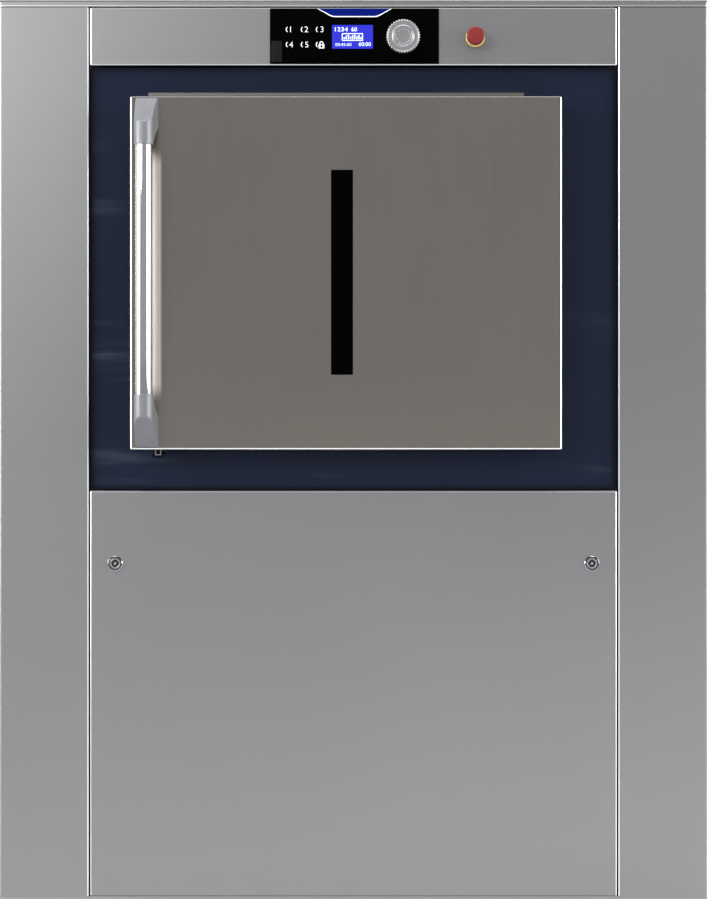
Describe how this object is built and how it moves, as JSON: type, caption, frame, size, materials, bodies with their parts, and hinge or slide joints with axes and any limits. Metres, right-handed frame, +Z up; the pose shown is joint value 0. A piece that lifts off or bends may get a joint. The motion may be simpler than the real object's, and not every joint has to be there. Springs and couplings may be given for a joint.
{
  "type": "barrier washer",
  "caption": "Two-sided barrier washer: steel cabinet with a hinged door and bar handle on each side, a control panel, an emergency stop and a horizontal drum.",
  "frame": {"origin": "on the floor, under the middle of the cabinet", "axes": "+Z up; the loading side with the controls faces -Y and the unloading side +Y; the drum axle is along X"},
  "size_m": [1.165, 1.2268, 1.48],
  "materials": {
    "satin_steel": "satin, no visible grain",
    "brushed_door_steel": "warm brushed",
    "wash_steel": "mill finish",
    "bright_steel": "bright drawn",
    "knob_silver": "satin, turned",
    "grey_casting": "silver-grey lacquer",
    "navy_gloss": "gloss, faint streaks",
    "painted_frame": "semi-matt",
    "black_gloss": "smooth gloss",
    "black_plastic": "fine matt",
    "dark_rubber": "matt",
    "window_glass": "dark tinted",
    "red_plastic": "semi-gloss",
    "yellow_plastic": "semi-gloss"
  },
  "bodies": {
    "cabinet": {"left_side_panel": "satin_steel", "right_side_panel": "satin_steel", "top_cover": "satin_steel", "front_fascia": "satin_steel", "rear_fascia": "satin_steel", "front_service_panel": "satin_steel", "rear_service_panel": "satin_steel", "tub": "wash_steel", "bearing_left": "bright_steel", "bearing_right": "bright_steel", "front_hinge_post": "bright_steel", "front_hinge_pin": "bright_steel", "rear_hinge_post": "bright_steel", "rear_hinge_pin": "bright_steel", "front_lock_case": "grey_casting", "rear_lock_case": "grey_casting", "front_door_surround": "navy_gloss", "rear_door_surround": "navy_gloss", "base_frame": "painted_frame", "tub_end_left": "painted_frame", "tub_end_right": "painted_frame", "motor": "painted_frame", "control_overlay": "black_gloss", "controller_box": "black_plastic", "drain_valve": "black_plastic", "inlet_manifold": "black_plastic", "drive_belt": "dark_rubber", "front_mouth_gasket": "dark_rubber", "rear_mouth_gasket": "dark_rubber", "front_estop_collar": "yellow_plastic", "rear_estop_collar": "yellow_plastic"},
    "front_door": {"front_door_skin": "brushed_door_steel", "front_door_pan": "wash_steel", "front_window": "window_glass", "front_handle_tube": "bright_steel", "front_handle_foot_upper": "grey_casting", "front_handle_foot_lower": "grey_casting", "front_door_staple": "bright_steel"},
    "rear_door": {"rear_door_skin": "brushed_door_steel", "rear_door_pan": "wash_steel", "rear_window": "window_glass", "rear_handle_tube": "bright_steel", "rear_handle_foot_upper": "grey_casting", "rear_handle_foot_lower": "grey_casting", "rear_door_staple": "bright_steel"},
    "front_bolt": {"front_lock_bolt": "bright_steel"},
    "rear_bolt": {"rear_lock_bolt": "bright_steel"},
    "front_stop_button": {"front_estop_cap": "red_plastic"},
    "rear_stop_button": {"rear_estop_cap": "red_plastic"},
    "knob_shaft": {"encoder_plunger": "bright_steel"},
    "knob": {"program_knob": "knob_silver"},
    "port_flap": {"port_cover": "dark_rubber"},
    "left_panel_lock": {"quarter_lock_left": "bright_steel"},
    "right_panel_lock": {"quarter_lock_right": "bright_steel"},
    "drum_group": {"drum": "wash_steel", "drum_journal_left": "bright_steel", "drum_journal_right": "bright_steel", "drum_pulley": "painted_frame"},
    "drum_door": {"drum_shutter": "wash_steel"},
    "motor_rotor": {"motor_pulley": "bright_steel"}
  },
  "joints": [
    {"name": "front_door_swing", "type": "hinge", "parent": "cabinet", "child": "front_door", "pos_m": [0.3285, -0.535, 1.02715], "axis": [0, 0, 1], "range_deg": [0, 115]},
    {"name": "rear_door_swing", "type": "hinge", "parent": "cabinet", "child": "rear_door", "pos_m": [-0.3285, 0.535, 1.02715], "axis": [0, 0, 1], "range_deg": [0, 115]},
    {"name": "front_lock_slide", "type": "slide", "parent": "cabinet", "child": "front_bolt", "axis": [-1, 0, 0], "range_m": [0, 0.014]},
    {"name": "rear_lock_slide", "type": "slide", "parent": "cabinet", "child": "rear_bolt", "axis": [1, 0, 0], "range_m": [0, 0.014]},
    {"name": "front_estop_push", "type": "slide", "parent": "cabinet", "child": "front_stop_button", "axis": [0, 1, 0], "range_m": [0, 0.005], "stiffness_N_per_m": 1500},
    {"name": "rear_estop_push", "type": "slide", "parent": "cabinet", "child": "rear_stop_button", "axis": [0, -1, 0], "range_m": [0, 0.005], "stiffness_N_per_m": 1500},
    {"name": "knob_push", "type": "slide", "parent": "cabinet", "child": "knob_shaft", "axis": [0, 1, 0], "range_m": [0, 0.0015], "stiffness_N_per_m": 2000},
    {"name": "knob_turn", "type": "hinge", "parent": "knob_shaft", "child": "knob", "pos_m": [0.0816, -0.5093, 1.4179], "axis": [0, 1, 0], "continuous": true},
    {"name": "port_cover_flip", "type": "hinge", "parent": "cabinet", "child": "port_flap", "pos_m": [-0.135, -0.5086, 1.39515], "axis": [0, 0, -1], "range_deg": [0, 100]},
    {"name": "quarter_lock_left_turn", "type": "hinge", "parent": "cabinet", "child": "left_panel_lock", "pos_m": [-0.3925, -0.505, 0.5527], "axis": [0, 1, 0], "range_deg": [0, 90]},
    {"name": "quarter_lock_right_turn", "type": "hinge", "parent": "cabinet", "child": "right_panel_lock", "pos_m": [0.3925, -0.505, 0.5527], "axis": [0, 1, 0], "range_deg": [0, 90]},
    {"name": "drum_spin", "type": "hinge", "parent": "cabinet", "child": "drum_group", "pos_m": [0, 0, 0.98315], "axis": [1, 0, 0], "continuous": true},
    {"name": "drum_door_slide", "type": "hinge", "parent": "drum_group", "child": "drum_door", "pos_m": [0, 0, 0.98315], "axis": [-1, 0, 0], "range_deg": [0, 75]},
    {"name": "motor_spin", "type": "hinge", "parent": "cabinet", "child": "motor_rotor", "pos_m": [0, 0.36, 0.2], "axis": [1, 0, 0], "continuous": true}
  ],
  "couplings": [
    {"joint": "motor_spin", "follows": "drum_spin", "ratio": 5}
  ]
}
